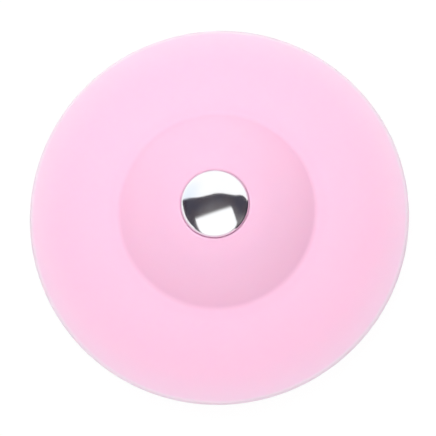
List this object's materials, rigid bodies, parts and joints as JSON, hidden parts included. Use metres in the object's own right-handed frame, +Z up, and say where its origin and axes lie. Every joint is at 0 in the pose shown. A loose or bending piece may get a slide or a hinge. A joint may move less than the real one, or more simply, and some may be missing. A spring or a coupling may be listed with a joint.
{
  "type": "drain strainer",
  "caption": "Round silicone drain strainer: a wide cone-shaped cover with a flexible dome and press button over a slotted cup with a pipe seal and a plug.",
  "frame": {"origin": "centre of the strainer cup's flat underside, the lowest face, on the drain's axis", "axes": "+Z up along the drain's axis, from the strainer cup to the button; the object is round, so X and Y are alike; ridges under the rim lie on +X and -X"},
  "size_m": [0.103, 0.103, 0.031],
  "materials": {
    "pink_silicone": "satin, soft",
    "chrome": "polished",
    "white_plastic": "satin moulded",
    "stainless_steel": "turned"
  },
  "bodies": {
    "cover": {"silicone_skirt": "pink_silicone", "flex_dome": "pink_silicone", "guide_plate": "white_plastic", "strainer_cup": "white_plastic", "pipe_seal": "pink_silicone"},
    "button": {"button_cap": "chrome", "dome_hub": "pink_silicone", "button_core": "white_plastic", "hub_washer": "white_plastic", "plunger_stem": "white_plastic", "plug_disc": "pink_silicone", "plug_washer": "stainless_steel", "stem_screw": "stainless_steel"}
  },
  "joints": [
    {"name": "press", "type": "slide", "parent": "cover", "child": "button", "axis": [0, 0, 1], "range_m": [-0.0056, 0], "deforming": ["flex_dome"]}
  ]
}
